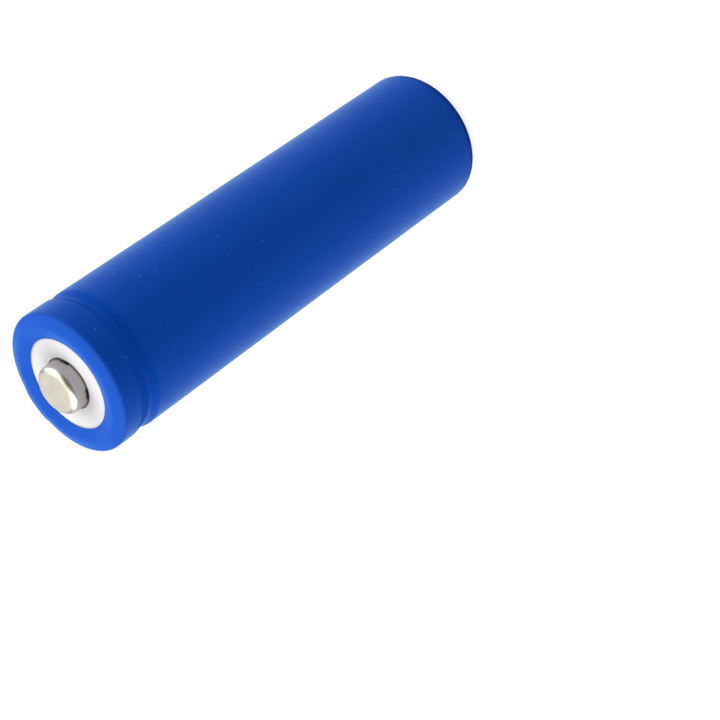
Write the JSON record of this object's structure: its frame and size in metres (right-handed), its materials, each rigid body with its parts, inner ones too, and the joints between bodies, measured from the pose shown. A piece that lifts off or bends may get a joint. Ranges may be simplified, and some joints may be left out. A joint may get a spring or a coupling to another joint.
{
  "type": "cylindrical battery cell",
  "caption": "Cylindrical lithium-ion cell with a blue shrink sleeve, a raised positive button in a white washer, and a flat negative contact disc.",
  "frame": {"origin": "centre of the negative contact disc's outer face, which the cell stands on", "axes": "+Z along the cell's axis, from the negative contact to the positive button; +Y towards the strip that runs down the side under the sleeve"},
  "size_m": [0.0186, 0.0186, 0.0691],
  "materials": {
    "sleeve_film": "satin heat-shrink film",
    "white_fibre": "matt white insulating fibre",
    "nickel_plate": "bright nickel plating",
    "nickel_plate_worn": "dull, stained nickel plating",
    "can_steel": "nickel-plated drawn steel",
    "gasket_plastic": "natural polypropylene",
    "ptc_polymer": "carbon-filled polymer between nickel foils",
    "bare_aluminium": "mill finish",
    "separator_film": "microporous film",
    "cathode_coating": "dark metal-oxide coating on foil",
    "anode_coating": "graphite coating on copper foil",
    "yellow_tape": "polyimide tape",
    "insulator_disc": "translucent polymer sheet",
    "nickel_strip": "rolled nickel",
    "board_laminate": "solder mask on glass-fibre laminate",
    "chip_moulding": "moulded epoxy",
    "chip_ceramic": "fired ceramic",
    "fish_paper": "vulcanised insulating paper"
  },
  "bodies": {
    "root": {"outer_sleeve": "sleeve_film", "top_washer": "white_fibre", "positive_button": "nickel_plate", "negative_disc": "nickel_plate_worn", "steel_can": "can_steel", "crimp_gasket": "gasket_plastic", "top_cap": "can_steel", "ptc_ring": "ptc_polymer", "vent_diaphragm": "bare_aluminium", "cid_insulator": "gasket_plastic", "weld_plate": "bare_aluminium", "separator_inner": "separator_film", "cathode_sheet": "cathode_coating", "separator_outer": "separator_film", "anode_sheet": "anode_coating", "center_pin": "can_steel", "roll_tape": "yellow_tape", "top_insulator": "insulator_disc", "bottom_insulator": "insulator_disc", "positive_tab": "bare_aluminium", "negative_tab": "nickel_strip", "protection_board": "board_laminate", "switch_transistor": "chip_moulding", "protection_chip": "chip_moulding", "resistor_1": "chip_ceramic", "resistor_2": "chip_ceramic", "capacitor": "chip_ceramic", "board_spacer": "gasket_plastic", "board_insulator": "fish_paper", "negative_link": "nickel_strip", "sense_strip": "nickel_strip", "strip_insulator": "yellow_tape", "crimp_insulator": "fish_paper"}
  },
  "joints": []
}
